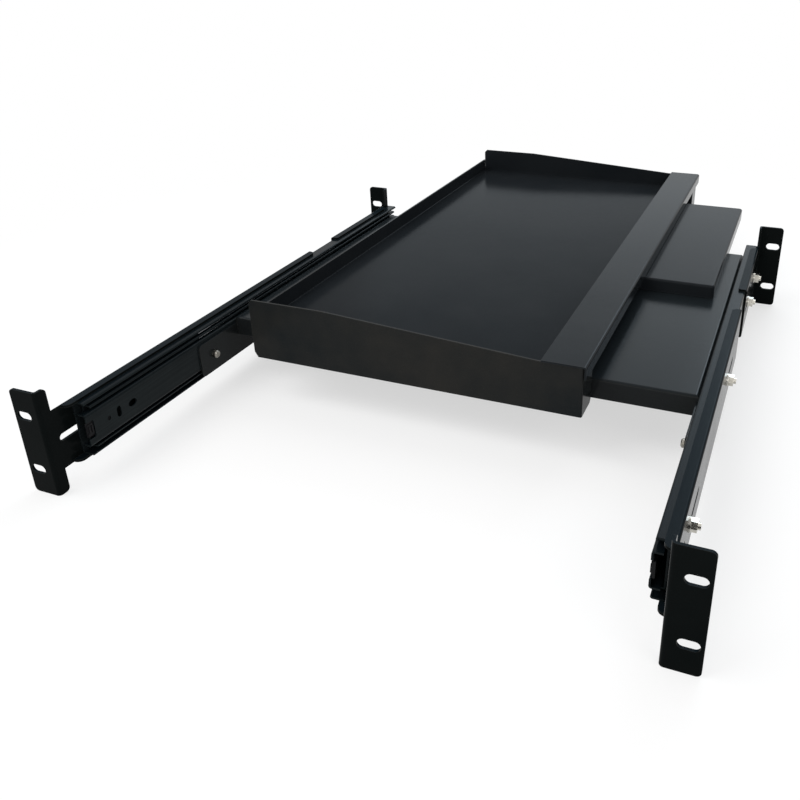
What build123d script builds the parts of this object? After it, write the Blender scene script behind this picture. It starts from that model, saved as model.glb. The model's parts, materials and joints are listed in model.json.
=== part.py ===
from build123d import *
import os

# Sliding keyboard storage shelf for a four-post 19 inch rack, two units high.
# Frame: +X to the right, +Y into the rack, +Z up, millimetres. The front faces of the front ears
# lie in the plane Y = 0, X = 0 is the middle of the rack, and Z = 0 is the middle height of the ears.
# Right-hand pieces are modelled once and mirrored for the left side.

# Rack standard
slot_span_x = 465.1
slot_span_z = 44.45
slot_edge = 8.75
slot_length = 13.0
slot_width = 7.0

# Rack brackets
ear_height = 86.0
ear_corner = 3.5
slot_to_web = 12.95
bracket_gauge = 2.0
stub_depth = 9.7
channel_lip = 8.0
channel_play = 0.1
front_channel_setback = 18.5
rear_channel_setback = 18.0
near_lip_corner = 5.5
front_lip_corner = 5.0
rear_lip_corner = 2.5
bracket_gap = 47.0
rear_bracket_reach = 132.0
bracket_slot_width = 5.6

# Slides
slide_front = 28.0
slide_length = 508.0
slide_thickness = 12.7
slide_half_height = 22.2
member_gauge = 1.2
arm_play = 0.1
ball_gap_outer = 3.4
ball_gap_inner = 3.0
ball_play = 0.2
web_gap_outer = 2.3
inner_lead = 2.0
middle_setback = 5.0
member_setback = 2.0
arm_bend = 0.9
bend_ease = 0.6
cage_length = 230.0
cage_start = 160.0
cage_gauge = 0.8
cage_half_width = 2.4
race_shift = 0.4
balls_per_cage = 4
slide_travel = 480.0
bumper_play = 0.5
post_clearance = 4.0

# Shelf pan
shelf_gauge = 1.5
shelf_bend = 2.5
shelf_depth = 318.0
shelf_rear_gap = 11.0
shelf_top = 15.0
shelf_face_height = 17.0
shelf_side_height = 34.6
tab_length = 54.0
tab_top = 10.0
tab_overlap = 4.0
tab_corner = 4.0

# Keyboard tray
tray_gauge = 1.5
tray_front_reach = 27.0
tray_rear_reach = 213.5
tray_side_gap = 38.9
floor_rise = 7.0
lip_height = 14.5
lip_setback = 4.0
wrist_rise = 17.0
wrist_width = 35.0
wrist_overhang = 2.5
cap_rise = 10.0
cap_drop = 19.5
cap_kink = 71.0
cap_recess = 2.5
cap_return = 26.0
cap_corner = 3.0
cap_low_corner = 5.0
spacer_diameter = 18.0
spacer_inset = 45.0

# Mouse platform
platform_gauge = 1.5
platform_bend = 2.2
platform_corner = 4.0
platform_length = 253.7
platform_rear_gap = 90.0
platform_side_gap = 14.0
platform_open_width = 63.9
platform_lap = 31.0
platform_rise = 12.4
platform_slit = 0.8
platform_clearance = 0.3
guide_length = 30.0
guide_inset = 26.0
guide_clearance = 0.6
guide_corner = 2.0

# Fasteners
bolt_diameter = 5.0
bolt_head_diameter = 9.5
bolt_head_height = 1.4
bolt_stub = 2.0
washer_diameter = 10.5
washer_height = 1.0
nut_across_flats = 8.0
nut_height = 4.0
front_bolt_y = 75.0
front_bolt_inset = 88.0
rear_bolt_insets = (100.0, 35.0)
screw_front_inset = 18.0
screw_rear_inset = 25.0
tab_screw_drop = 19.5
screw_diameter = 4.0
screw_head_diameter = 7.0
screw_head_height = 4.0
hole_play = 0.2

# Release lever and the holes at the front of each inner member
window_depth = 6.5
window_half_height = 7.0
window_corner = 1.0
lever_reach = 21.0
lever_gauge = 1.5
lever_gap = 0.3
lever_play = 0.15
lever_eye = 9.0
lever_half_height = 6.0
tab_half_height = 4.6
tab_recess = 0.8
rib_width = 1.0
pin_diameter = 3.6
pin_recess = 0.4
pin_head = 6.0
pin_head_height = 0.8
upright_slot_y = 57.5
upright_slot_height = 9.0
upright_slot_width = 4.6
oval_y = 72.0
oval_half_length = 4.4
oval_half_height = 2.9

# Worked-out positions across, right-hand side
ear_span = slot_span_x + 2 * slot_edge
bracket_outside_x = slot_span_x / 2 - slot_to_web
web_inside_x = bracket_outside_x - bracket_gauge
inner_face_x = web_inside_x - slide_thickness
shelf_half_width = inner_face_x
middle_web_x = web_inside_x - member_gauge - web_gap_outer
arm_end_x = inner_face_x + member_gauge + arm_play
tray_left = tray_side_gap - shelf_half_width
cap_kink_x = tray_left + cap_kink
platform_right = shelf_half_width - platform_side_gap
wrist_outer = platform_right - platform_open_width
wrist_inner = wrist_outer - wrist_width
platform_left = wrist_outer - platform_lap

# Worked-out positions along the rack
slide_rear = slide_front + slide_length
inner_front = slide_front - inner_lead
inner_rear = slide_rear - 3 * member_setback
middle_front = slide_front + middle_setback
middle_rear = slide_rear - 2 * member_setback
post_depth = slide_rear + post_clearance
rear_bracket_start = slide_rear - rear_bracket_reach
front_bracket_end = rear_bracket_start - bracket_gap
front_bolt_ys = (front_bolt_y, front_bracket_end - front_bolt_inset)
rear_bolt_ys = tuple(slide_rear - inset for inset in rear_bolt_insets)
shelf_rear = slide_rear - shelf_rear_gap
shelf_front = shelf_rear - shelf_depth
tab_front = shelf_front - tab_length
tray_front = shelf_front - tray_front_reach
tray_rear = shelf_rear + tray_rear_reach
platform_rear = tray_rear - platform_rear_gap
platform_front = platform_rear - platform_length
first_screw_y = tab_front + screw_front_inset
last_screw_y = shelf_rear - screw_rear_inset
tab_screw_ys = (first_screw_y, (first_screw_y + last_screw_y) / 2, last_screw_y)
lever_pivot_y = inner_front + lever_reach

# Worked-out heights
channel_half_height = slide_half_height + channel_play + bracket_gauge
race_outer_z = slide_half_height - member_gauge
middle_half_height = race_outer_z - ball_gap_outer
race_middle_z = middle_half_height - member_gauge
inner_half_height = race_middle_z - ball_gap_inner
shelf_underside = shelf_top - shelf_gauge
tray_floor = shelf_top + floor_rise
floor_underside = tray_floor - tray_gauge
wrist_top = tray_floor + wrist_rise
platform_top = shelf_top + platform_rise
flange_bottom = platform_top + platform_slit
cap_top = wrist_top + cap_rise
cap_bottom = shelf_top - cap_drop
tab_screw_z = shelf_top - tab_screw_drop


def bars_x(places, diameter, x_from, x_to, mode=Mode.ADD):
    """Round bars along X at the given Y and Z places, in the part that is being built."""
    with BuildSketch(Plane.YZ.offset(x_from)) as ends:
        with Locations(*places):
            Circle(diameter / 2)
    extrude(ends.sketch, amount=x_to - x_from, mode=mode)


def bars_z(places, diameter, z_from, z_to, mode=Mode.ADD):
    """Upright round bars at the given X and Y places, in the part that is being built."""
    with BuildSketch(Plane.XY.offset(z_from)) as ends:
        with Locations(*places):
            Circle(diameter / 2)
    extrude(ends.sketch, amount=z_to - z_from, mode=mode)


def save(part, name):
    """Label one finished piece and write it to its own file."""
    part.label = name
    export_step(part, f"parts/{name}.step")


def save_pair(part, name):
    """Write a right-hand piece and its mirror image for the left side."""
    save(part, f"{name}_right")
    save(mirror(part, about=Plane.YZ), f"{name}_left")


# Rack brackets: an ear, a short full-height stub and a channel that holds the slide
def bracket_web_slots(bolt_ys):
    """Each adjustment slot starts a little before its bolt and runs toward the rear."""
    return [(y + bracket_slot_width * 3, bracket_slot_width * 8) for y in bolt_ys]


def make_bracket(ear_y, inward, channel_from, channel_to, slots, lip_corner):
    """One right-hand bracket. The ear's outer face is at ear_y and inward is +1 or -1 along Y."""
    with BuildPart() as bracket:
        # Ear and stub, bent from one blank
        half_gauge = bracket_gauge / 2
        with BuildSketch(Plane.XY.offset(-ear_height / 2)):
            with BuildLine() as bend:
                FilletPolyline(
                    (ear_span / 2, ear_y + inward * half_gauge),
                    (bracket_outside_x - half_gauge, ear_y + inward * half_gauge),
                    (bracket_outside_x - half_gauge, ear_y + inward * stub_depth),
                    radius=bracket_gauge,
                )
            trace(bend.line, line_width=bracket_gauge)
        extrude(amount=ear_height)
        fillet(bracket.edges().filter_by(Axis.Y).group_by(Axis.X)[-1], ear_corner)
        stub_edge = bracket.faces().sort_by(Axis.Y)[-1 if inward > 0 else 0]
        fillet(stub_edge.edges().filter_by(Axis.X), ear_corner)
        # The channel starts as one length from the stub to its far end
        stub_end = ear_y + inward * (stub_depth - 1)
        near, far = (channel_from, channel_to) if inward > 0 else (channel_to, channel_from)
        with BuildSketch(Plane.XZ.offset(-stub_end)):
            with Locations((bracket_outside_x - channel_lip / 2, 0)):
                channel = Rectangle(channel_lip, 2 * channel_half_height)
            fillet(channel.vertices().group_by(Axis.X)[-1], bracket_gauge)
            with Locations((web_inside_x - channel_lip, 0)):
                Rectangle(2 * channel_lip, 2 * (channel_half_height - bracket_gauge), mode=Mode.SUBTRACT)
        extrude(amount=stub_end - far)
        # Its lips are cut away near the ear and rounded at both ends
        with Locations((web_inside_x - channel_lip, (stub_end + near) / 2, 0)):
            Box(2 * channel_lip, abs(near - stub_end), 3 * channel_half_height, mode=Mode.SUBTRACT)
        lip_ends = bracket.edges().filter_by(Axis.Z).group_by(Axis.X)[0]
        fillet(lip_ends.group_by(Axis.Y)[0 if inward > 0 else -1], near_lip_corner)
        far_face = bracket.faces().filter_by(Axis.Y).sort_by(Axis.Y)[-1 if inward > 0 else 0]
        fillet(far_face.edges().filter_by(Axis.Z).group_by(Axis.X)[0], lip_corner)
        # Ear slots, then the web's adjustment slots
        with BuildSketch(Plane.XZ.offset(-ear_y)):
            with GridLocations(0, slot_span_z, 1, 2):
                with Locations((slot_span_x / 2, 0)):
                    SlotOverall(slot_length, slot_width)
        extrude(amount=2 * bracket_gauge, both=True, mode=Mode.SUBTRACT)
        with BuildSketch(Plane.YZ.offset(web_inside_x)):
            for slot_middle, slot_run in slots:
                with Locations((slot_middle, 0)):
                    SlotOverall(slot_run, bracket_slot_width)
        extrude(amount=2 * bracket_gauge, both=True, mode=Mode.SUBTRACT)
    return bracket.part


def make_front_bracket():
    """The front bracket reaches back over the front two thirds of the slide."""
    slots = bracket_web_slots(front_bolt_ys)
    first = stub_depth + bracket_gauge + bracket_slot_width * 4
    slots.append((first, bracket_slot_width * 8))
    return make_bracket(0, 1, front_channel_setback, front_bracket_end, slots, front_lip_corner)


def make_rear_bracket():
    """The rear bracket carries the slide's rear end and leaves a gap to the front bracket."""
    slots = [(y - bracket_slot_width, bracket_slot_width * 7) for y in rear_bolt_ys]
    return make_bracket(post_depth, -1, rear_bracket_start, post_depth - rear_channel_setback, slots,
                        rear_lip_corner)


# Slide members: three rolled channels, one inside the other
def rolled_profile(points, y_from, y_to, gauge, radius):
    """A bent strip, given by the middle line of its section in X and Z, drawn out along Y."""
    with BuildPart() as member:
        with BuildSketch(Plane.XZ.offset(-y_from)):
            with BuildLine() as middle:
                FilletPolyline(*points, radius=radius)
            trace(middle.line, line_width=gauge)
        extrude(amount=y_from - y_to)
    return member.part


def member_points(web_x, arm_x, half_height, hook):
    """Middle line of a C section with small hooked ends that hold the balls in."""
    half = member_gauge / 2
    z = half_height - half
    section = [(arm_x, z), (web_x, z), (web_x, -z), (arm_x, -z)]
    if hook:
        section = [(arm_x, z - hook)] + section + [(arm_x, -z + hook)]
    return section


def make_outer_member():
    """Fixed member, bolted to the two brackets."""
    half = member_gauge / 2
    points = member_points(web_inside_x - half, arm_end_x + half, slide_half_height, member_gauge)
    with BuildPart() as outer:
        add(rolled_profile(points, slide_front, slide_rear, member_gauge, arm_bend))
        with BuildSketch(Plane.YZ.offset(web_inside_x)):
            with Locations(*[(y, 0) for y in front_bolt_ys + rear_bolt_ys]):
                Circle(bolt_diameter / 2 + hole_play)
        extrude(amount=-2 * member_gauge, mode=Mode.SUBTRACT)
    return outer.part


def make_middle_member():
    """Intermediate member, which runs forward half as far as the shelf."""
    half = member_gauge / 2
    points = member_points(middle_web_x - half, arm_end_x + half, middle_half_height, member_gauge)
    return rolled_profile(points, middle_front, middle_rear, member_gauge, arm_bend)


def make_inner_member():
    """Inner member, which carries the shelf pan. Its access holes lie near the front."""
    half = member_gauge / 2
    arm_x = middle_web_x - member_gauge - web_gap_outer / 2
    points = member_points(inner_face_x + half, arm_x, inner_half_height, 0)
    with BuildPart() as inner:
        add(rolled_profile(points, inner_front, inner_rear, member_gauge, arm_bend + bend_ease))
        # Lever pin, upright slot, the oval that gives access to the front bolt, and the shelf's screws
        with BuildSketch(Plane.YZ.offset(inner_face_x)):
            with Locations(*[(y, tab_screw_z) for y in tab_screw_ys]):
                Circle(screw_diameter / 2 + hole_play)
            with Locations((lever_pivot_y, 0)):
                Circle(pin_diameter / 2)
            with Locations((upright_slot_y, 0)):
                SlotOverall(upright_slot_height, upright_slot_width, rotation=90)
            with Locations((oval_y, 0)):
                Ellipse(oval_half_length, oval_half_height)
            # Window at the front end, in which the lever's tab shows
            with Locations((inner_front, 0)):
                window = Rectangle(2 * window_depth, 2 * window_half_height)
            fillet(window.vertices().group_by(Axis.X)[-1], window_corner)
        extrude(amount=2 * member_gauge, both=True, mode=Mode.SUBTRACT)
    return inner.part


# Ball cages: a strip above and below in each race, with the balls in its holes
def cage_ball_ys():
    """Y of the balls, evenly spread over the cage."""
    pitch = cage_length / balls_per_cage
    return [cage_start + pitch * (i + 0.5) for i in range(balls_per_cage)]


def make_cage(middle_x, half_width, z, ball_diameter):
    """Two punched strips, at plus and minus z."""
    with BuildPart() as cage:
        with Locations(*[(middle_x, cage_start + cage_length / 2, side * z) for side in (1, -1)]):
            Box(2 * half_width, cage_length, cage_gauge)
        with BuildSketch(Plane.XY.offset(-z - cage_gauge)):
            with Locations(*[(middle_x, y) for y in cage_ball_ys()]):
                Circle(ball_diameter / 2 + ball_play)
        extrude(amount=2 * (z + cage_gauge), mode=Mode.SUBTRACT)
    return cage.part


def make_balls(x, z, ball_diameter):
    """The steel balls of one pair of races."""
    with BuildPart() as balls:
        with Locations(*[(x, y, side * z) for y in cage_ball_ys() for side in (1, -1)]):
            Sphere(ball_diameter / 2)
    return balls.part


def make_slide_bumper():
    """Rubber stop inside the rear end of the outer member."""
    clear = middle_rear + bumper_play
    depth = slide_rear - clear
    x_from = web_inside_x - member_gauge
    with BuildPart() as bumper:
        with Locations((x_from - slide_thickness / 3, clear + depth / 2, 0)):
            Box(slide_thickness / 3 * 2, depth, inner_half_height)
        fillet(bumper.edges().filter_by(Axis.X), depth / 4)
    return bumper.part


# Release lever and its pin
def make_lever():
    """Lever behind the inner member's web, with a ribbed finger tab in the window."""
    back_x = inner_face_x + member_gauge + lever_gap
    tab_x = inner_face_x + tab_recess
    tab_from = inner_front + rib_width / 2
    tab_run = window_depth - rib_width - lever_gap
    with BuildPart() as lever:
        # Plate that narrows from the tab to the eye
        with BuildSketch(Plane.YZ.offset(back_x)):
            with Locations((lever_pivot_y, 0)):
                Circle(lever_eye / 2)
            with Locations((tab_from + tab_run / 2, 0)):
                Rectangle(tab_run, 2 * lever_half_height)
            make_hull()
            with Locations((lever_pivot_y, 0)):
                Circle(pin_diameter / 2 + lever_play, mode=Mode.SUBTRACT)
        extrude(amount=lever_gauge)
        # Finger tab, which stands in the window a little behind the web's face
        with BuildSketch(Plane.YZ.offset(tab_x)):
            with Locations((tab_from + tab_run / 2, 0)):
                RectangleRounded(tab_run, 2 * tab_half_height, window_corner)
        extrude(amount=back_x - tab_x)
        # Two upright ribs, flush with the web's face
        with BuildSketch(Plane.YZ.offset(inner_face_x)):
            with Locations(*[(tab_from + tab_run * share, 0) for share in (0.25, 0.75)]):
                SlotOverall(tab_half_height * 1.4, rib_width, rotation=90)
        extrude(amount=tab_recess)
    return lever.part


def make_lever_pin():
    """Pin in the web, a little below its face, with a head behind the lever."""
    head_x = inner_face_x + member_gauge + lever_gauge + 2 * lever_gap
    place = [(lever_pivot_y, 0)]
    with BuildPart() as pin:
        bars_x(place, pin_diameter, inner_face_x + pin_recess, head_x)
        bars_x(place, pin_head, head_x, head_x + pin_head_height)
    return pin.part


# Fasteners
def make_bracket_bolts():
    """Low-head bolts from inside the outer member, out through the brackets."""
    seat = web_inside_x - member_gauge
    tip = bracket_outside_x + washer_height + nut_height + bolt_stub
    places = [(y, 0) for y in front_bolt_ys + rear_bolt_ys]
    with BuildPart() as bolts:
        bars_x(places, bolt_head_diameter, seat - bolt_head_height, seat)
        bars_x(places, bolt_diameter, seat, tip)
    return bolts.part


def make_bracket_washers():
    """Flat washers that bridge the brackets' slots."""
    with BuildPart() as washers:
        with BuildSketch(Plane.YZ.offset(bracket_outside_x)):
            with Locations(*[(y, 0) for y in front_bolt_ys + rear_bolt_ys]):
                Circle(washer_diameter / 2)
                Circle(bolt_diameter / 2, mode=Mode.SUBTRACT)
        extrude(amount=washer_height)
    return washers.part


def make_bracket_nuts():
    """Hexagon nuts on the washers."""
    with BuildPart() as nuts:
        with BuildSketch(Plane.YZ.offset(bracket_outside_x + washer_height)):
            with Locations(*[(y, 0) for y in front_bolt_ys + rear_bolt_ys]):
                RegularPolygon(nut_across_flats / 2, 6, major_radius=False)
                Circle(bolt_diameter / 2, mode=Mode.SUBTRACT)
        extrude(amount=nut_height)
    return nuts.part


def make_shelf_screws():
    """Screws that hold the shelf pan's side to the inner member."""
    face = shelf_half_width - shelf_gauge
    places = [(y, tab_screw_z) for y in tab_screw_ys]
    with BuildPart() as screws:
        bars_x(places, screw_head_diameter, face - screw_head_height, face)
        chamfer(screws.edges().group_by(Axis.X)[0], screw_head_height / 4)
        bars_x(places, screw_diameter, face, inner_face_x + 2.5 * member_gauge)
    return screws.part


# Shelf pan
def spacer_places():
    """Where the keyboard tray stands on the shelf."""
    middle_x = (tray_left + wrist_inner) / 2
    reach_x = (wrist_inner - tray_left) / 2 - spacer_inset
    middle_y = (shelf_front + shelf_rear) / 2
    reach_y = (shelf_rear - shelf_front) / 2 - spacer_inset
    return [(middle_x + i * reach_x, middle_y + j * reach_y) for i in (-1, 1) for j in (-1, 1)]


def make_shelf_pan():
    """Folded sheet: a flat top, front and rear faces, deep sides with tabs to the front."""
    middle_y = (shelf_front + shelf_rear) / 2
    side_bottom = shelf_top - shelf_side_height
    face_bottom = shelf_top - shelf_face_height
    with BuildPart() as pan:
        with Locations((0, middle_y, (shelf_top + side_bottom) / 2)):
            Box(2 * shelf_half_width, shelf_depth, shelf_side_height)
        fillet(pan.faces().sort_by(Axis.Z)[-1].edges(), shelf_bend)
        offset(amount=-shelf_gauge, openings=pan.faces().sort_by(Axis.Z)[0])
        # The front and rear faces end well above the sides' lower edges
        with Locations((0, middle_y, (side_bottom + face_bottom) / 2)):
            Box(2 * (shelf_half_width - shelf_gauge), 2 * shelf_depth, face_bottom - side_bottom,
                mode=Mode.SUBTRACT)
        # Tabs forward of the pan, along the inner members
        with BuildSketch(Plane.YZ.offset(shelf_half_width)):
            with Locations(((tab_front + shelf_front + tab_overlap) / 2, (tab_top + side_bottom) / 2)):
                Rectangle(tab_length + tab_overlap, tab_top - side_bottom)
        extrude(amount=-shelf_gauge)
        fillet(pan.edges().filter_by(Axis.X).group_by(Axis.Y)[0], tab_corner)
        mirror(about=Plane.YZ)
        # Screw holes in the sides and stud holes under the tray
        with BuildSketch(Plane.YZ.offset(-shelf_half_width)):
            with Locations(*[(y, tab_screw_z) for y in tab_screw_ys]):
                Circle(screw_diameter / 2 + hole_play)
        extrude(amount=2 * shelf_half_width, mode=Mode.SUBTRACT)
        with BuildSketch(Plane.XY.offset(shelf_underside - shelf_gauge)):
            with Locations(*spacer_places()):
                Circle(bolt_diameter / 2 + hole_play)
        extrude(amount=3 * shelf_gauge, mode=Mode.SUBTRACT)
    return pan.part


# Keyboard tray
def make_tray_pan():
    """Bent sheet: rear lip, keyboard floor, riser, wrist rest and its folded outer edge."""
    half = tray_gauge / 2
    left = tray_left + half
    floor_z = tray_floor - half
    top_z = wrist_top - half
    riser_x = wrist_inner + half
    flange_x = wrist_outer - half
    with BuildPart() as tray:
        with BuildSketch(Plane.XZ.offset(-tray_front)):
            with BuildLine() as section:
                FilletPolyline(
                    (left, tray_floor + lip_height), (left, floor_z), (riser_x, floor_z), (riser_x, top_z),
                    (flange_x, top_z), (flange_x, flange_bottom), radius=tray_gauge,
                )
            trace(section.line, line_width=tray_gauge)
        extrude(amount=tray_front - tray_rear)
        # The wrist rest runs out over both end caps, and the rear lip stops short of them
        with BuildSketch(Plane.XZ.offset(-tray_front + wrist_overhang)):
            with BuildLine() as rest:
                FilletPolyline((wrist_inner, top_z), (flange_x, top_z), (flange_x, flange_bottom),
                               radius=tray_gauge)
            trace(rest.line, line_width=tray_gauge)
        extrude(amount=-(tray_rear - tray_front + 2 * wrist_overhang))
        lip_z = tray_floor + 2 * tray_gauge + lip_height / 2
        with Locations((left, tray_front, lip_z), (left, tray_rear, lip_z)):
            Box(3 * tray_gauge, 2 * lip_setback, lip_height, mode=Mode.SUBTRACT)
    return tray.part


def make_end_cap(inner_y, outward):
    """End plate with a sloping top edge and a flange folded back under the wrist rest."""
    outer_y = inner_y + outward * tray_gauge
    right = wrist_outer - cap_recess
    under_rest = wrist_top - tray_gauge
    with BuildPart() as cap:
        with BuildSketch(Plane.XZ.offset(-inner_y)):
            with BuildLine():
                Polyline((tray_left + cap_corner, cap_bottom), (right, cap_bottom), (right, under_rest),
                         (wrist_inner - cap_corner, under_rest), (cap_kink_x, cap_top),
                         (tray_left + cap_corner, cap_top), (tray_left, cap_top - cap_corner),
                         (tray_left, cap_bottom + cap_low_corner), close=True)
            make_face()
        extrude(amount=-outward * tray_gauge)
        return_z = (cap_bottom + under_rest) / 2
        return_height = under_rest - cap_bottom
        with Locations((right - tray_gauge / 2, inner_y - outward * cap_return / 2, return_z)):
            Box(tray_gauge, cap_return, return_height)
        corner = cap.edges().filter_by(Axis.Z).group_by(Axis.X)[-1].sort_by(Axis.Y)
        fillet(corner[0] if outer_y < inner_y else corner[-1], tray_gauge)
        # The return's lower corner is cut off
        low = cap.edges().filter_by(Axis.X).group_by(Axis.Z)[0].sort_by(Axis.Y)
        chamfer(low[-1] if outer_y < inner_y else low[0], cap_corner)
    return cap.part


def make_tray_spacers():
    """Short pillars between the shelf's top and the tray's floor."""
    with BuildPart() as spacers:
        with BuildSketch(Plane.XY.offset(shelf_top)):
            with Locations(*spacer_places()):
                Circle(spacer_diameter / 2)
                Circle(bolt_diameter / 2, mode=Mode.SUBTRACT)
        extrude(amount=floor_underside - shelf_top)
    return spacers.part


def make_tray_studs():
    """Weld studs from the tray's floor down through the spacers and the shelf."""
    with BuildPart() as studs:
        bars_z(spacer_places(), bolt_diameter, shelf_underside - nut_height - bolt_stub, floor_underside)
    return studs.part


def make_tray_nuts():
    """Nuts on the studs, under the shelf's top."""
    with BuildPart() as nuts:
        with BuildSketch(Plane.XY.offset(shelf_underside)):
            with Locations(*spacer_places()):
                RegularPolygon(nut_across_flats / 2, 6, major_radius=False)
                Circle(bolt_diameter / 2, mode=Mode.SUBTRACT)
        extrude(amount=-nut_height)
    return nuts.part


# Mouse platform
def make_mouse_platform():
    """Shallow pan turned over, standing on the shelf, part of it under the wrist rest."""
    bottom = shelf_top + platform_clearance
    height = platform_top - bottom
    middle = ((platform_left + platform_right) / 2, (platform_front + platform_rear) / 2, bottom + height / 2)
    with BuildPart() as platform:
        with Locations(middle):
            Box(platform_right - platform_left, platform_rear - platform_front, height)
        fillet(platform.edges().filter_by(Axis.Z), platform_corner)
        fillet(platform.faces().sort_by(Axis.Z)[-1].edges(), platform_bend)
        offset(amount=-platform_gauge, openings=platform.faces().sort_by(Axis.Z)[0])
    return platform.part


def make_platform_guides():
    """Nylon blocks on the platform that run in the channel under the wrist rest."""
    channel_from = wrist_inner + tray_gauge + guide_clearance
    channel_to = wrist_outer - tray_gauge - guide_clearance
    top = wrist_top - tray_gauge - guide_clearance
    with BuildPart() as guides:
        reach = guide_inset + guide_length / 2
        places = [platform_front + reach, platform_rear - reach]
        with Locations(*[((channel_from + channel_to) / 2, y, (platform_top + top) / 2) for y in places]):
            Box(channel_to - channel_from, guide_length, top - platform_top)
        fillet(guides.edges().filter_by(Axis.Z), guide_corner)
    return guides.part


def make_races():
    """Cages and balls of the outer and the inner pair of races."""
    outer_ball = ball_gap_outer - ball_play
    inner_ball = ball_gap_inner - ball_play
    outer_z = race_outer_z - ball_gap_outer / 2
    inner_z = race_middle_z - ball_gap_inner / 2
    outer_x = (middle_web_x + arm_end_x) / 2
    inner_x = outer_x - race_shift
    save_pair(make_cage(outer_x, cage_half_width, outer_z, outer_ball), "outer_cage")
    save_pair(make_balls(outer_x, outer_z, outer_ball), "outer_balls")
    save_pair(make_cage(inner_x, cage_half_width - race_shift, inner_z, inner_ball), "inner_cage")
    save_pair(make_balls(inner_x, inner_z, inner_ball), "inner_balls")


def make_slides():
    """All slide pieces of both sides."""
    save_pair(make_outer_member(), "outer_member")
    save_pair(make_middle_member(), "middle_member")
    save_pair(make_inner_member(), "inner_member")
    make_races()
    save_pair(make_slide_bumper(), "slide_bumper")
    save_pair(make_lever(), "release_lever")
    save_pair(make_lever_pin(), "lever_pin")


def make_all():
    """Build and write every piece."""
    os.makedirs("parts", exist_ok=True)
    save_pair(make_front_bracket(), "front_bracket")
    save_pair(make_rear_bracket(), "rear_bracket")
    make_slides()
    save_pair(make_bracket_bolts(), "bracket_bolts")
    save_pair(make_bracket_washers(), "bracket_washers")
    save_pair(make_bracket_nuts(), "bracket_nuts")
    save_pair(make_shelf_screws(), "shelf_screws")
    save(make_shelf_pan(), "shelf_pan")
    save(make_tray_pan(), "tray_pan")
    save(make_end_cap(tray_front, -1), "front_cap")
    save(make_end_cap(tray_rear, 1), "rear_cap")
    save(make_tray_spacers(), "tray_spacers")
    save(make_tray_studs(), "tray_studs")
    save(make_tray_nuts(), "tray_nuts")
    save(make_mouse_platform(), "mouse_platform")
    save(make_platform_guides(), "platform_guides")


make_all()
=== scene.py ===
import json

import bpy
from mathutils import Matrix, Vector


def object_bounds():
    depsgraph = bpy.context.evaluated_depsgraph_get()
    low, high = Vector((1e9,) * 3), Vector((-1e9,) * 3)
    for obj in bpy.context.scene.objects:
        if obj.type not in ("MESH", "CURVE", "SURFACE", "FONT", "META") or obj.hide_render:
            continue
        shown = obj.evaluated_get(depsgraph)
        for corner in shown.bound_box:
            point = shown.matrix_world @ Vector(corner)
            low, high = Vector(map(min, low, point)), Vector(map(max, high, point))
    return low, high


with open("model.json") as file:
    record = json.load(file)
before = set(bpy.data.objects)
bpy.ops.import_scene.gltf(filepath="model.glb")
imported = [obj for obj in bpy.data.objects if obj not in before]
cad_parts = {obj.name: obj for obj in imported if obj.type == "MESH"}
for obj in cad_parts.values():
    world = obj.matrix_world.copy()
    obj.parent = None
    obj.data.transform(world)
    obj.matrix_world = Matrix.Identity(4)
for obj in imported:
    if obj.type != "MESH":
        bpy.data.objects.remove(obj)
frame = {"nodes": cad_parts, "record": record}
cad_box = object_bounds()
nodes = frame["nodes"]


# Camera at the photograph's angle
CAMERA_PLACE = (0.25417, -0.35914, 0.32996)
CAMERA_FORWARD = (-0.34497, 0.83688, -0.42501)
CAMERA_RIGHT = (0.92707, 0.37459, -0.01487)
CAMERA_LENS = 38.2
CAMERA_SHIFT = (-0.0831, -0.0925)
SENSOR_WIDTH = 36.0
CLIP_NEAR = 0.01
CLIP_FAR = 50.0


def add_camera():
    """The camera, placed by its forward and right directions."""
    forward = Vector(CAMERA_FORWARD).normalized()
    right = Vector(CAMERA_RIGHT)
    right = (right - right.dot(forward) * forward).normalized()
    up = right.cross(forward)
    turn = Matrix((right, up, -forward)).transposed()
    data = bpy.data.cameras.new("camera")
    data.sensor_width = SENSOR_WIDTH
    data.lens = CAMERA_LENS
    data.shift_x, data.shift_y = CAMERA_SHIFT
    data.clip_start = CLIP_NEAR
    data.clip_end = CLIP_FAR
    camera = bpy.data.objects.new("camera", data)
    camera.matrix_world = Matrix.Translation(CAMERA_PLACE) @ turn.to_4x4()
    bpy.context.scene.collection.objects.link(camera)
    bpy.context.scene.camera = camera


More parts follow.
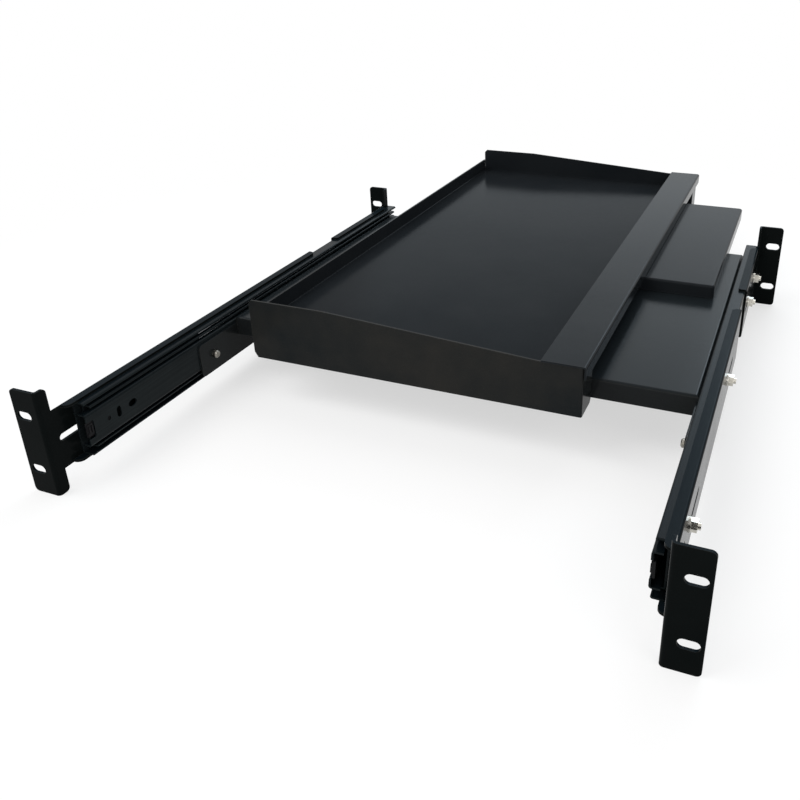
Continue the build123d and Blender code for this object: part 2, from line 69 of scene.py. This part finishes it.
# Node material helpers
class Graph:
    """A material's node tree with short calls for the nodes used here."""

    def __init__(self, name):
        self.material = bpy.data.materials.new(name)
        self.material.use_nodes = True
        self.tree = self.material.node_tree
        self.tree.nodes.clear()
        self.out = self.node("ShaderNodeOutputMaterial")
        texture = self.node("ShaderNodeTexCoord")
        self.coords = texture.outputs["Object"]
        self.object_normal = texture.outputs["Normal"]

    def node(self, kind, **settings):
        made = self.tree.nodes.new(kind)
        for key, value in settings.items():
            setattr(made, key, value)
        return made

    def link(self, source, target):
        self.tree.links.new(source, target)

    def split(self, vector):
        """The X, Y and Z outputs of a vector."""
        made = self.node("ShaderNodeSeparateXYZ")
        self.link(vector, made.inputs[0])
        return made.outputs

    def stretched(self, scale):
        """Object coordinates with a scale for each axis."""
        mapping = self.node("ShaderNodeMapping")
        mapping.inputs["Scale"].default_value = scale
        self.link(self.coords, mapping.inputs["Vector"])
        return mapping.outputs["Vector"]

    def noise(self, scale, detail=2.0, roughness=0.5, vector=None):
        made = self.node("ShaderNodeTexNoise")
        made.inputs["Scale"].default_value = scale
        made.inputs["Detail"].default_value = detail
        made.inputs["Roughness"].default_value = roughness
        self.link(vector or self.coords, made.inputs["Vector"])
        return made.outputs["Fac"]

    def remap(self, source, low, high, from_low=0.0, from_high=1.0):
        made = self.node("ShaderNodeMapRange")
        made.inputs["From Min"].default_value = from_low
        made.inputs["From Max"].default_value = from_high
        made.inputs["To Min"].default_value = low
        made.inputs["To Max"].default_value = high
        self.link(source, made.inputs["Value"])
        return made.outputs["Result"]

    def blend(self, fac, first, second):
        """Colour between two colours, which may be sockets."""
        made = self.node("ShaderNodeMix", data_type="RGBA")
        self.link(fac, made.inputs["Factor"])
        for name, value in (("A", first), ("B", second)):
            socket = [s for s in made.inputs if s.name == name and s.type == "RGBA"][0]
            if isinstance(value, tuple):
                socket.default_value = (*value, 1.0)
            else:
                self.link(value, socket)
        return [s for s in made.outputs if s.type == "RGBA"][0]

    def math(self, operation, first, second):
        made = self.node("ShaderNodeMath", operation=operation)
        for socket, value in zip(made.inputs, (first, second)):
            if isinstance(value, (int, float)):
                socket.default_value = value
            else:
                self.link(value, socket)
        return made.outputs[0]

    def bump(self, height, distance, strength=1.0, below=None):
        made = self.node("ShaderNodeBump")
        made.inputs["Strength"].default_value = strength
        made.inputs["Distance"].default_value = distance
        self.link(height, made.inputs["Height"])
        if below is not None:
            self.link(below, made.inputs["Normal"])
        return made.outputs["Normal"]

    def principled(self, color, roughness, normal=None, **values):
        """A principled shader's output. Constant values are set on its sockets."""
        shader = self.node("ShaderNodeBsdfPrincipled")
        self.link(color, shader.inputs["Base Color"])
        self.link(roughness, shader.inputs["Roughness"])
        if normal is not None:
            self.link(normal, shader.inputs["Normal"])
        for name, value in values.items():
            shader.inputs[name.replace("_", " ")].default_value = value
        return shader.outputs["BSDF"]

    def surface(self, color, roughness, normal=None, **values):
        """The material, with one principled shader on its output."""
        self.link(self.principled(color, roughness, normal, **values), self.out.inputs["Surface"])
        return self.material

    def mixed_surface(self, fac, first, second):
        """The material, with a mix of two shaders on its output."""
        mix = self.node("ShaderNodeMixShader")
        self.link(fac, mix.inputs["Fac"])
        self.link(first, mix.inputs[1])
        self.link(second, mix.inputs[2])
        self.link(mix.outputs["Shader"], self.out.inputs["Surface"])
        return self.material


# Paler edges, partly worn paint and partly a painted highlight along the bends: radius in metres, share
# of the edge colour, and the colour or its gain
PAINT_EDGE_RADIUS = 0.0008
PAINT_EDGE_SHARE = 0.15
PAINT_EDGE_WEAR_HIGHLIGHT_COLOR = (0.15, 0.15, 0.14)
STEEL_EDGE_RADIUS = 0.0006
STEEL_EDGE_SHARE = 0.5
STEEL_EDGE_WEAR_HIGHLIGHT_GAIN = 1.8
EDGE_SAMPLES = 6
SPECK_GAIN = 2.2

# Floor of the keyboard well in metres, and the soft steps at its borders
WELL_FLOOR = 0.022
WELL_LEFT = -0.1640
WELL_RIGHT = 0.0915
WELL_FLOOR_STEP = (0.0002, 0.0014)
WELL_SIDE_STEP = 0.001


def edge_mask(graph, radius):
    """About 1 on edges and corners and 0 on flat faces, from a bevelled normal."""
    bevel = graph.node("ShaderNodeBevel", samples=EDGE_SAMPLES)
    bevel.inputs["Radius"].default_value = radius
    geometry = graph.node("ShaderNodeNewGeometry")
    dot = graph.node("ShaderNodeVectorMath", operation="DOT_PRODUCT")
    graph.link(bevel.outputs["Normal"], dot.inputs[0])
    graph.link(geometry.outputs["Normal"], dot.inputs[1])
    return graph.remap(dot.outputs["Value"], 1.0, 0.0, 0.75, 0.99)


def painted_top_sheen(graph, color, top_sheen):
    """Painted highlight: upward faces are blended toward a little paler colour, standing in for light
    reflected off top faces.
    """
    upward = graph.remap(graph.split(graph.object_normal)["Z"], 0.0, 1.0, 0.5, 0.9)
    return graph.blend(upward, color, top_sheen)


def well_mask(graph):
    """1 on the floor of the keyboard well and 0 on the rest of the tray."""
    place = graph.split(graph.coords)
    low, high = (WELL_FLOOR + step for step in WELL_FLOOR_STEP)
    floor = graph.remap(place["Z"], 1.0, 0.0, low, high)
    left = graph.remap(place["X"], 0.0, 1.0, WELL_LEFT - WELL_SIDE_STEP, WELL_LEFT)
    right = graph.remap(place["X"], 1.0, 0.0, WELL_RIGHT, WELL_RIGHT + WELL_SIDE_STEP)
    return graph.math("MULTIPLY", floor, graph.math("MULTIPLY", left, right))


def powder_coat(name, dark, light, roughness, grain, ior, well_ior=None, top_sheen=None):
    """Baked powder paint: a fine pebbled skin, soft clouding and slightly paler edges, partly worn paint
    and partly a painted highlight.

    well_ior gives the floor of the keyboard well a duller skin than the rest.
    """
    g = Graph(name)
    cloud = g.noise(9.0, 4.0, 0.6)
    speck = g.noise(1400.0, 2.0, 0.6)
    pebble = g.noise(grain, 3.0, 0.55)
    wave = g.noise(120.0, 2.0, 0.5)
    base = g.blend(g.remap(cloud, 0.0, 1.0, 0.35, 0.65), dark, light)
    fleck = tuple(SPECK_GAIN * c for c in light)
    flecked = g.blend(g.remap(speck, 0.0, 0.35, 0.55, 0.75), base, fleck)
    edges = g.math("MULTIPLY", edge_mask(g, PAINT_EDGE_RADIUS), PAINT_EDGE_SHARE)
    # Edges are lightened: partly worn paint, partly a painted highlight along the bends
    color = g.blend(edges, flecked, PAINT_EDGE_WEAR_HIGHLIGHT_COLOR)
    # top_sheen paints a paler highlight on upward faces, standing in for reflected light
    if top_sheen is not None:
        color = painted_top_sheen(g, color, top_sheen)
    patches = g.remap(cloud, -0.02, 0.03, 0.3, 0.7)
    rough = g.math("ADD", patches, g.remap(pebble, roughness - 0.03, roughness + 0.03))
    normal = g.bump(pebble, 0.00006, 0.5, g.bump(wave, 0.00012, 0.25))
    if well_ior is None:
        return g.surface(color, rough, normal, IOR=ior)
    skin = g.principled(color, rough, normal, IOR=ior)
    dull = g.principled(color, rough, normal, IOR=well_ior)
    return g.mixed_surface(well_mask(g), skin, dull)


def plated_steel(name, dark, light, roughness, streak, metal=1.0, ior=1.5, top_sheen=None):
    """Rolled or drawn steel with zinc plate: fine streaks along the length."""
    g = Graph(name)
    lines = g.noise(1.0, 3.0, 0.6, g.stretched(streak))
    cloud = g.noise(45.0, 3.0, 0.6)
    spangle = g.noise(900.0, 1.0, 0.5)
    mix = g.math("MULTIPLY", g.remap(lines, 0.0, 1.0, 0.3, 0.7), g.remap(cloud, 0.5, 1.0, 0.3, 0.7))
    base = g.blend(mix, dark, light)
    # Edges are lightened: partly worn plate, partly painted highlight lines along the bends
    worn_and_highlit = tuple(min(1.0, STEEL_EDGE_WEAR_HIGHLIGHT_GAIN * c) for c in light)
    color = g.blend(g.math("MULTIPLY", edge_mask(g, STEEL_EDGE_RADIUS), STEEL_EDGE_SHARE), base, worn_and_highlit)
    # top_sheen paints a paler highlight on upward faces, standing in for reflected light
    if top_sheen is not None:
        color = painted_top_sheen(g, color, top_sheen)
    spread = g.remap(spangle, roughness - 0.03, roughness + 0.03)
    rough = g.math("ADD", g.remap(lines, -0.05, 0.05), spread)
    normal = g.bump(lines, 0.00003, 0.4)
    return g.surface(color, rough, normal, Metallic=metal, IOR=ior)


def moulded(name, dark, light, roughness, grain):
    """Moulded nylon or rubber with a fine spark-eroded grain."""
    g = Graph(name)
    grains = g.noise(grain, 3.0, 0.6)
    cloud = g.noise(60.0, 3.0, 0.5)
    color = g.blend(g.remap(cloud, 0.0, 1.0, 0.3, 0.7), dark, light)
    rough = g.remap(grains, roughness - 0.06, roughness + 0.06)
    normal = g.bump(grains, 0.00005, 0.5)
    return g.surface(color, rough, normal, IOR=1.15)


# Name: dark colour, light colour, roughness, grain, index of refraction, other values
POWDER_COATS = {
    # top_sheen colours in this table are a painted highlight on upward faces
    "bracket_paint": ((0.002, 0.003, 0.003), (0.004, 0.005, 0.005), 0.15, 900.0, 1.07,
                      {"top_sheen": (0.006, 0.010, 0.013)}),
    "shelf_paint": ((0.008, 0.010, 0.012), (0.012, 0.014, 0.016), 0.16, 1100.0, 1.11, {}),
    "tray_paint": ((0.008, 0.010, 0.012), (0.012, 0.014, 0.016), 0.16, 1100.0, 1.11, {"well_ior": 1.06}),
    "pan_paint": ((0.009, 0.010, 0.011), (0.012, 0.014, 0.014), 0.16, 1100.0, 1.15,
                  {"top_sheen": (0.010, 0.013, 0.015)}),
    # cap_paint is a paler copy of the black paint: painted light on the front-facing cap
    "cap_paint": ((0.009, 0.011, 0.012), (0.021, 0.020, 0.018), 0.20, 1100.0, 1.12, {}),
}

# Name: dark colour, light colour, roughness, streaks along each axis, other values
PLATED_STEELS = {
    # The top_sheen colour here is a painted highlight on upward faces
    "slide_steel": ((0.006, 0.008, 0.009), (0.013, 0.017, 0.018), 0.22, (900.0, 6.0, 900.0),
                    {"metal": 0.1, "ior": 1.12, "top_sheen": (0.005, 0.008, 0.010)}),
    "dull_zinc": ((0.16, 0.15, 0.13), (0.32, 0.31, 0.28), 0.34, (700.0, 700.0, 700.0), {}),
    "pin_steel": ((0.002, 0.002, 0.002), (0.004, 0.004, 0.005), 0.4, (300.0, 300.0, 300.0),
                  {"metal": 0.0, "ior": 1.1}),
    "cage_steel": ((0.35, 0.36, 0.38), (0.50, 0.51, 0.53), 0.35, (500.0, 20.0, 500.0), {}),
    "ball_steel": ((0.65, 0.66, 0.68), (0.78, 0.79, 0.80), 0.12, (60.0, 60.0, 60.0), {}),
    "zinc_hardware": ((0.44, 0.42, 0.37), (0.70, 0.68, 0.62), 0.22, (300.0, 300.0, 300.0), {}),
}

# Name: dark colour, light colour, roughness, grain
MOULDED = {
    "rubber": ((0.015, 0.015, 0.015), (0.03, 0.03, 0.03), 0.7, 700.0),
    "black_nylon": ((0.006, 0.006, 0.007), (0.011, 0.011, 0.012), 0.42, 900.0),
}

# Nodes with a variant of their slot's material
OWN_MATERIALS = {
    "shelf_pan": "pan_paint",
    "tray_pan": "tray_paint",
    # The cap's paler paint is painted light on its front face
    "front_cap": "cap_paint",
    "lever_pin_left": "pin_steel",
    "lever_pin_right": "pin_steel",
    "shelf_screws_left": "dull_zinc",
    "shelf_screws_right": "dull_zinc",
}


def make_materials():
    """The materials by name: one for each slot of the record, and the variants."""
    made = {}
    for name, (*values, others) in POWDER_COATS.items():
        made[name] = powder_coat(name, *values, **others)
    for name, (*values, others) in PLATED_STEELS.items():
        made[name] = plated_steel(name, *values, **others)
    for name, values in MOULDED.items():
        made[name] = moulded(name, *values)
    return made


def dress_nodes():
    """Each CAD node gets the material of its slot, or its own variant of it."""
    materials = make_materials()
    slots = {entry["node"]: entry["material_slot"] for entry in frame["record"]["subparts"]}
    for name, obj in nodes.items():
        obj.data.materials.clear()
        obj.data.materials.append(materials[OWN_MATERIALS.get(name, slots[name])])


# Floor, world and lamps
PART_MIDDLE = (0.0, 0.35, 0.0)
FLOOR_REACH = 12.0
FADE_NEAR = 0.6
FADE_FAR = 1.0
WHITE_SHARE_NEAR = 0.30
WHITE_SHARE_FAR = 0.75
ROOM_LIGHT = 0.55

# Lamp: place, width and height in metres, power in watts, colour
LAMPS = {
    "key": ((-1.2, -0.6, 2.2), (1.6, 1.6), 28.0, (1.0, 1.0, 1.0)),
    "fill": ((2.0, -1.0, 1.4), (1.8, 1.8), 14.0, (1.0, 1.0, 1.0)),
    "top": ((0.2, 1.8, 2.4), (1.8, 1.8), 16.0, (1.0, 1.0, 1.0)),
    "back": ((-0.3, 4.2, 1.8), (4.0, 1.9), 15.0, (0.70, 0.88, 1.0)),
    "corner": ((0.65, 4.2, 2.6), (1.5, 1.6), 30.0, (0.72, 0.87, 1.0)),
    "front": ((0.2, -2.6, 0.9), (1.8, 1.2), 12.0, (1.0, 0.98, 0.94)),
}


def seen_rays(tree):
    """1 for rays from the camera, a reflection or a transmission, and 0 for diffuse light."""
    path = tree.nodes.new("ShaderNodeLightPath")
    found = path.outputs["Is Camera Ray"]
    for name in ("Is Glossy Ray", "Is Transmission Ray"):
        either = tree.nodes.new("ShaderNodeMath")
        either.operation = "MAXIMUM"
        tree.links.new(found, either.inputs[0])
        tree.links.new(path.outputs[name], either.inputs[1])
        found = either.outputs[0]
    return found


def add_floor(z):
    """A large pale floor under the part."""
    mesh = bpy.data.meshes.new("floor")
    corners = [(x * FLOOR_REACH, y * FLOOR_REACH, z) for x, y in ((-1, -1), (1, -1), (1, 1), (-1, 1))]
    mesh.from_pydata(corners, [], [(0, 1, 2, 3)])
    floor = bpy.data.objects.new("floor", mesh)
    bpy.context.scene.collection.objects.link(floor)
    g = Graph("floor")
    cloud = g.noise(1.5, 2.0, 0.5)
    color = g.blend(cloud, (0.93, 0.93, 0.93), (0.95, 0.95, 0.95))
    shader = g.principled(color, g.remap(cloud, 0.85, 0.9), Specular_IOR_Level=0.1)
    # Seen directly or in a reflection, the floor turns plain white away from the part
    white = g.node("ShaderNodeEmission")
    distance = g.node("ShaderNodeVectorMath", operation="DISTANCE")
    distance.inputs[1].default_value = PART_MIDDLE
    g.link(g.coords, distance.inputs[0])
    fade = g.remap(distance.outputs["Value"], FADE_NEAR, FADE_FAR, WHITE_SHARE_NEAR, WHITE_SHARE_FAR)
    share = g.math("MULTIPLY", fade, seen_rays(g.tree))
    mesh.materials.append(g.mixed_surface(share, shader, white.outputs["Emission"]))


def add_world():
    """A pale room: white to the camera and in reflections, softer as a light."""
    world = bpy.data.worlds.new("world")
    world.use_nodes = True
    tree = world.node_tree
    tree.nodes.clear()
    out = tree.nodes.new("ShaderNodeOutputWorld")
    mix = tree.nodes.new("ShaderNodeMixShader")
    tree.links.new(seen_rays(tree), mix.inputs["Fac"])
    for index, strength in ((1, ROOM_LIGHT), (2, 1.0)):
        background = tree.nodes.new("ShaderNodeBackground")
        background.inputs["Color"].default_value = (1.0, 1.0, 1.0, 1.0)
        background.inputs["Strength"].default_value = strength
        tree.links.new(background.outputs["Background"], mix.inputs[index])
    tree.links.new(mix.outputs["Shader"], out.inputs["Surface"])
    bpy.context.scene.world = world


def add_lamp(name, place, size, power, color):
    """A soft box aimed at the middle of the part."""
    data = bpy.data.lights.new(name, "AREA")
    data.shape = "RECTANGLE"
    data.size, data.size_y = size
    data.energy = power
    data.color = color
    lamp = bpy.data.objects.new(name, data)
    lamp.location = place
    aim = Vector(PART_MIDDLE) - Vector(place)
    lamp.rotation_euler = aim.to_track_quat("-Z", "Y").to_euler()
    bpy.context.scene.collection.objects.link(lamp)


add_camera()
dress_nodes()
add_floor(cad_box[0][2])
add_world()
for lamp_name, lamp_values in LAMPS.items():
    add_lamp(lamp_name, *lamp_values)
bpy.context.scene.view_settings.view_transform = "Standard"
